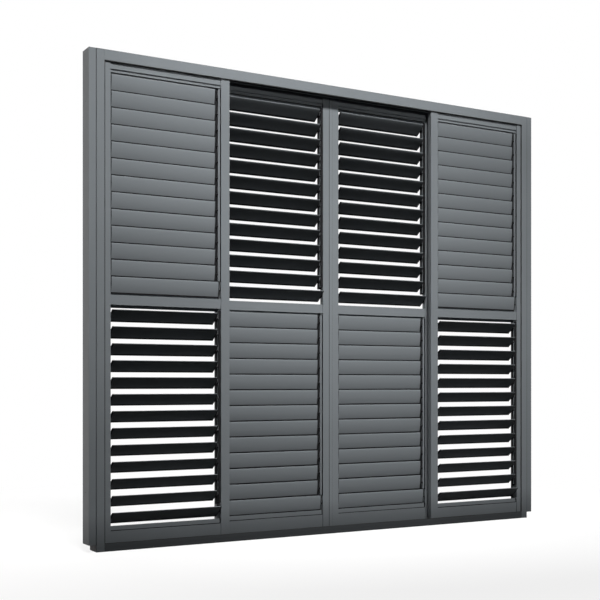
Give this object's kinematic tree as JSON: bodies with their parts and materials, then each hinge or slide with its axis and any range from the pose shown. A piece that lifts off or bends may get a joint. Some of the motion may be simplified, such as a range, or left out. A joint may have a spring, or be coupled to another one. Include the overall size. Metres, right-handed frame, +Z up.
{
  "type": "louvred sliding panel",
  "caption": "Wide shutter wall: a two-track frame with side posts that holds sliding leaves, each with an upper and a lower bank of tilting louvre blades.",
  "frame": {"origin": "on the floor under the middle of the frame", "axes": "+X along the wall to the right as seen from the front, +Y from the front to the back, +Z up"},
  "size_m": [2.652, 0.1152, 2.3064],
  "materials": {
    "frame_coat": "anthracite powder coat on aluminium extrusions, fine satin texture",
    "blade_coat": "anthracite powder coat on aluminium blades, fine satin texture",
    "black_plastic": "moulded black nylon"
  },
  "bodies": {
    "frame": {"head_rail": "frame_coat", "sill_rail": "frame_coat", "left_jamb": "frame_coat", "right_jamb": "frame_coat", "left_side_post": "frame_coat", "right_side_post": "frame_coat"},
    "panel_1": {"panel_1_left_stile": "frame_coat", "panel_1_right_stile": "frame_coat", "panel_1_top_rail": "frame_coat", "panel_1_mid_rail": "frame_coat", "panel_1_bottom_rail": "frame_coat", "panel_1_bearing_strips": "frame_coat"},
    "panel_2": {"panel_2_stiles": "frame_coat", "panel_2_top_rail": "frame_coat", "panel_2_mid_rail": "frame_coat", "panel_2_bottom_rail": "frame_coat", "panel_2_strips": "frame_coat", "panel_2_louvres": "blade_coat"},
    "panel_3": {"panel_3_stiles": "frame_coat", "panel_3_top_rail": "frame_coat", "panel_3_mid_rail": "frame_coat", "panel_3_bottom_rail": "frame_coat", "panel_3_strips": "frame_coat", "panel_3_louvres": "blade_coat"},
    "panel_4": {"panel_4_stiles": "frame_coat", "panel_4_top_rail": "frame_coat", "panel_4_mid_rail": "frame_coat", "panel_4_bottom_rail": "frame_coat", "panel_4_strips": "frame_coat", "panel_4_louvres": "blade_coat"},
    "panel_1_upper_blade_01": {"panel_1_upper_blade_01": "blade_coat"},
    "panel_1_upper_blade_02": {"panel_1_upper_blade_02": "blade_coat"},
    "panel_1_upper_blade_03": {"panel_1_upper_blade_03": "blade_coat"},
    "panel_1_upper_blade_04": {"panel_1_upper_blade_04": "blade_coat"},
    "panel_1_upper_blade_05": {"panel_1_upper_blade_05": "blade_coat"},
    "panel_1_upper_blade_06": {"panel_1_upper_blade_06": "blade_coat"},
    "panel_1_upper_blade_07": {"panel_1_upper_blade_07": "blade_coat"},
    "panel_1_upper_blade_08": {"panel_1_upper_blade_08": "blade_coat"},
    "panel_1_upper_blade_09": {"panel_1_upper_blade_09": "blade_coat"},
    "panel_1_upper_blade_10": {"panel_1_upper_blade_10": "blade_coat"},
    "panel_1_upper_blade_11": {"panel_1_upper_blade_11": "blade_coat"},
    "panel_1_upper_blade_12": {"panel_1_upper_blade_12": "blade_coat"},
    "panel_1_upper_blade_13": {"panel_1_upper_blade_13": "blade_coat"},
    "panel_1_lower_blade_01": {"panel_1_lower_blade_01": "blade_coat"},
    "panel_1_lower_blade_02": {"panel_1_lower_blade_02": "blade_coat"},
    "panel_1_lower_blade_03": {"panel_1_lower_blade_03": "blade_coat"},
    "panel_1_lower_blade_04": {"panel_1_lower_blade_04": "blade_coat"},
    "panel_1_lower_blade_05": {"panel_1_lower_blade_05": "blade_coat"},
    "panel_1_lower_blade_06": {"panel_1_lower_blade_06": "blade_coat"},
    "panel_1_lower_blade_07": {"panel_1_lower_blade_07": "blade_coat"},
    "panel_1_lower_blade_08": {"panel_1_lower_blade_08": "blade_coat"},
    "panel_1_lower_blade_09": {"panel_1_lower_blade_09": "blade_coat"},
    "panel_1_lower_blade_10": {"panel_1_lower_blade_10": "blade_coat"},
    "panel_1_lower_blade_11": {"panel_1_lower_blade_11": "blade_coat"},
    "panel_1_lower_blade_12": {"panel_1_lower_blade_12": "blade_coat"},
    "panel_1_lower_blade_13": {"panel_1_lower_blade_13": "blade_coat"},
    "panel_1_upper_link_rod": {"panel_1_upper_link_rod": "black_plastic"},
    "panel_1_lower_link_rod": {"panel_1_lower_link_rod": "black_plastic"},
    "panel_1_left_roller": {"panel_1_left_roller": "black_plastic"},
    "panel_1_right_roller": {"panel_1_right_roller": "black_plastic"}
  },
  "joints": [
    {"name": "panel_1_slide", "type": "slide", "parent": "frame", "child": "panel_1", "axis": [1, 0, 0], "range_m": [0, 0.61]},
    {"name": "panel_2_slide", "type": "slide", "parent": "frame", "child": "panel_2", "axis": [-1, 0, 0], "range_m": [0, 0.61]},
    {"name": "panel_3_slide", "type": "slide", "parent": "frame", "child": "panel_3", "axis": [1, 0, 0], "range_m": [0, 0.61]},
    {"name": "panel_4_slide", "type": "slide", "parent": "frame", "child": "panel_4", "axis": [-1, 0, 0], "range_m": [0, 0.61]},
    {"name": "upper_tilt_01", "type": "hinge", "parent": "panel_1", "child": "panel_1_upper_blade_01", "pos_m": [-0.9385, -0.025, 1.22433], "axis": [-1, 0, 0], "range_deg": [-42, 0]},
    {"name": "upper_tilt_02", "type": "hinge", "parent": "panel_1", "child": "panel_1_upper_blade_02", "pos_m": [-0.9385, -0.025, 1.30233], "axis": [-1, 0, 0], "range_deg": [-42, 0]},
    {"name": "upper_tilt_03", "type": "hinge", "parent": "panel_1", "child": "panel_1_upper_blade_03", "pos_m": [-0.9385, -0.025, 1.38033], "axis": [-1, 0, 0], "range_deg": [-42, 0]},
    {"name": "upper_tilt_04", "type": "hinge", "parent": "panel_1", "child": "panel_1_upper_blade_04", "pos_m": [-0.9385, -0.025, 1.45833], "axis": [-1, 0, 0], "range_deg": [-42, 0]},
    {"name": "upper_tilt_05", "type": "hinge", "parent": "panel_1", "child": "panel_1_upper_blade_05", "pos_m": [-0.9385, -0.025, 1.53633], "axis": [-1, 0, 0], "range_deg": [-42, 0]},
    {"name": "upper_tilt_06", "type": "hinge", "parent": "panel_1", "child": "panel_1_upper_blade_06", "pos_m": [-0.9385, -0.025, 1.61433], "axis": [-1, 0, 0], "range_deg": [-42, 0]},
    {"name": "upper_tilt_07", "type": "hinge", "parent": "panel_1", "child": "panel_1_upper_blade_07", "pos_m": [-0.9385, -0.025, 1.69233], "axis": [-1, 0, 0], "range_deg": [-42, 0]},
    {"name": "upper_tilt_08", "type": "hinge", "parent": "panel_1", "child": "panel_1_upper_blade_08", "pos_m": [-0.9385, -0.025, 1.77033], "axis": [-1, 0, 0], "range_deg": [-42, 0]},
    {"name": "upper_tilt_09", "type": "hinge", "parent": "panel_1", "child": "panel_1_upper_blade_09", "pos_m": [-0.9385, -0.025, 1.84833], "axis": [-1, 0, 0], "range_deg": [-42, 0]},
    {"name": "upper_tilt_10", "type": "hinge", "parent": "panel_1", "child": "panel_1_upper_blade_10", "pos_m": [-0.9385, -0.025, 1.92633], "axis": [-1, 0, 0], "range_deg": [-42, 0]},
    {"name": "upper_tilt_11", "type": "hinge", "parent": "panel_1", "child": "panel_1_upper_blade_11", "pos_m": [-0.9385, -0.025, 2.00433], "axis": [-1, 0, 0], "range_deg": [-42, 0]},
    {"name": "upper_tilt_12", "type": "hinge", "parent": "panel_1", "child": "panel_1_upper_blade_12", "pos_m": [-0.9385, -0.025, 2.08233], "axis": [-1, 0, 0], "range_deg": [-42, 0]},
    {"name": "upper_tilt_13", "type": "hinge", "parent": "panel_1", "child": "panel_1_upper_blade_13", "pos_m": [-0.9385, -0.025, 2.16033], "axis": [-1, 0, 0], "range_deg": [-42, 0]},
    {"name": "upper_link_swing", "type": "hinge", "parent": "panel_1_upper_blade_01", "child": "panel_1_upper_link_rod", "pos_m": [-1.229, -0.018, 1.22164], "axis": [-1, 0, 0], "range_deg": [0, 42]},
    {"name": "lower_tilt_01", "type": "hinge", "parent": "panel_1", "child": "panel_1_lower_blade_01", "pos_m": [-0.9385, -0.025, 0.15011], "axis": [-1, 0, 0], "range_deg": [0, 42]},
    {"name": "lower_tilt_02", "type": "hinge", "parent": "panel_1", "child": "panel_1_lower_blade_02", "pos_m": [-0.9385, -0.025, 0.22811], "axis": [-1, 0, 0], "range_deg": [0, 42]},
    {"name": "lower_tilt_03", "type": "hinge", "parent": "panel_1", "child": "panel_1_lower_blade_03", "pos_m": [-0.9385, -0.025, 0.30611], "axis": [-1, 0, 0], "range_deg": [0, 42]},
    {"name": "lower_tilt_04", "type": "hinge", "parent": "panel_1", "child": "panel_1_lower_blade_04", "pos_m": [-0.9385, -0.025, 0.38411], "axis": [-1, 0, 0], "range_deg": [0, 42]},
    {"name": "lower_tilt_05", "type": "hinge", "parent": "panel_1", "child": "panel_1_lower_blade_05", "pos_m": [-0.9385, -0.025, 0.46211], "axis": [-1, 0, 0], "range_deg": [0, 42]},
    {"name": "lower_tilt_06", "type": "hinge", "parent": "panel_1", "child": "panel_1_lower_blade_06", "pos_m": [-0.9385, -0.025, 0.54011], "axis": [-1, 0, 0], "range_deg": [0, 42]},
    {"name": "lower_tilt_07", "type": "hinge", "parent": "panel_1", "child": "panel_1_lower_blade_07", "pos_m": [-0.9385, -0.025, 0.61811], "axis": [-1, 0, 0], "range_deg": [0, 42]},
    {"name": "lower_tilt_08", "type": "hinge", "parent": "panel_1", "child": "panel_1_lower_blade_08", "pos_m": [-0.9385, -0.025, 0.69611], "axis": [-1, 0, 0], "range_deg": [0, 42]},
    {"name": "lower_tilt_09", "type": "hinge", "parent": "panel_1", "child": "panel_1_lower_blade_09", "pos_m": [-0.9385, -0.025, 0.77411], "axis": [-1, 0, 0], "range_deg": [0, 42]},
    {"name": "lower_tilt_10", "type": "hinge", "parent": "panel_1", "child": "panel_1_lower_blade_10", "pos_m": [-0.9385, -0.025, 0.85211], "axis": [-1, 0, 0], "range_deg": [0, 42]},
    {"name": "lower_tilt_11", "type": "hinge", "parent": "panel_1", "child": "panel_1_lower_blade_11", "pos_m": [-0.9385, -0.025, 0.93011], "axis": [-1, 0, 0], "range_deg": [0, 42]},
    {"name": "lower_tilt_12", "type": "hinge", "parent": "panel_1", "child": "panel_1_lower_blade_12", "pos_m": [-0.9385, -0.025, 1.00811], "axis": [-1, 0, 0], "range_deg": [0, 42]},
    {"name": "lower_tilt_13", "type": "hinge", "parent": "panel_1", "child": "panel_1_lower_blade_13", "pos_m": [-0.9385, -0.025, 1.08611], "axis": [-1, 0, 0], "range_deg": [0, 42]},
    {"name": "lower_link_swing", "type": "hinge", "parent": "panel_1_lower_blade_01", "child": "panel_1_lower_link_rod", "pos_m": [-1.229, -0.018, 0.1528], "axis": [-1, 0, 0], "range_deg": [-42, 0]},
    {"name": "left_roller_spin", "type": "hinge", "parent": "panel_1", "child": "panel_1_left_roller", "pos_m": [-1.1385, -0.025, 0.0223], "axis": [0, 1, 0], "range_deg": [0, 2920]},
    {"name": "right_roller_spin", "type": "hinge", "parent": "panel_1", "child": "panel_1_right_roller", "pos_m": [-0.7385, -0.025, 0.0223], "axis": [0, 1, 0], "range_deg": [0, 2920]}
  ],
  "couplings": [
    {"joint": "upper_tilt_02", "follows": "upper_tilt_01", "ratio": 1},
    {"joint": "upper_tilt_03", "follows": "upper_tilt_01", "ratio": 1},
    {"joint": "upper_tilt_04", "follows": "upper_tilt_01", "ratio": 1},
    {"joint": "upper_tilt_05", "follows": "upper_tilt_01", "ratio": 1},
    {"joint": "upper_tilt_06", "follows": "upper_tilt_01", "ratio": 1},
    {"joint": "upper_tilt_07", "follows": "upper_tilt_01", "ratio": 1},
    {"joint": "upper_tilt_08", "follows": "upper_tilt_01", "ratio": 1},
    {"joint": "upper_tilt_09", "follows": "upper_tilt_01", "ratio": 1},
    {"joint": "upper_tilt_10", "follows": "upper_tilt_01", "ratio": 1},
    {"joint": "upper_tilt_11", "follows": "upper_tilt_01", "ratio": 1},
    {"joint": "upper_tilt_12", "follows": "upper_tilt_01", "ratio": 1},
    {"joint": "upper_tilt_13", "follows": "upper_tilt_01", "ratio": 1},
    {"joint": "upper_link_swing", "follows": "upper_tilt_01", "ratio": -1},
    {"joint": "lower_tilt_02", "follows": "lower_tilt_01", "ratio": 1},
    {"joint": "lower_tilt_03", "follows": "lower_tilt_01", "ratio": 1},
    {"joint": "lower_tilt_04", "follows": "lower_tilt_01", "ratio": 1},
    {"joint": "lower_tilt_05", "follows": "lower_tilt_01", "ratio": 1},
    {"joint": "lower_tilt_06", "follows": "lower_tilt_01", "ratio": 1},
    {"joint": "lower_tilt_07", "follows": "lower_tilt_01", "ratio": 1},
    {"joint": "lower_tilt_08", "follows": "lower_tilt_01", "ratio": 1},
    {"joint": "lower_tilt_09", "follows": "lower_tilt_01", "ratio": 1},
    {"joint": "lower_tilt_10", "follows": "lower_tilt_01", "ratio": 1},
    {"joint": "lower_tilt_11", "follows": "lower_tilt_01", "ratio": 1},
    {"joint": "lower_tilt_12", "follows": "lower_tilt_01", "ratio": 1},
    {"joint": "lower_tilt_13", "follows": "lower_tilt_01", "ratio": 1},
    {"joint": "lower_link_swing", "follows": "lower_tilt_01", "ratio": -1},
    {"joint": "left_roller_spin", "follows": "panel_1_slide", "rad_per_m": 83.333},
    {"joint": "right_roller_spin", "follows": "panel_1_slide", "rad_per_m": 83.333}
  ]
}
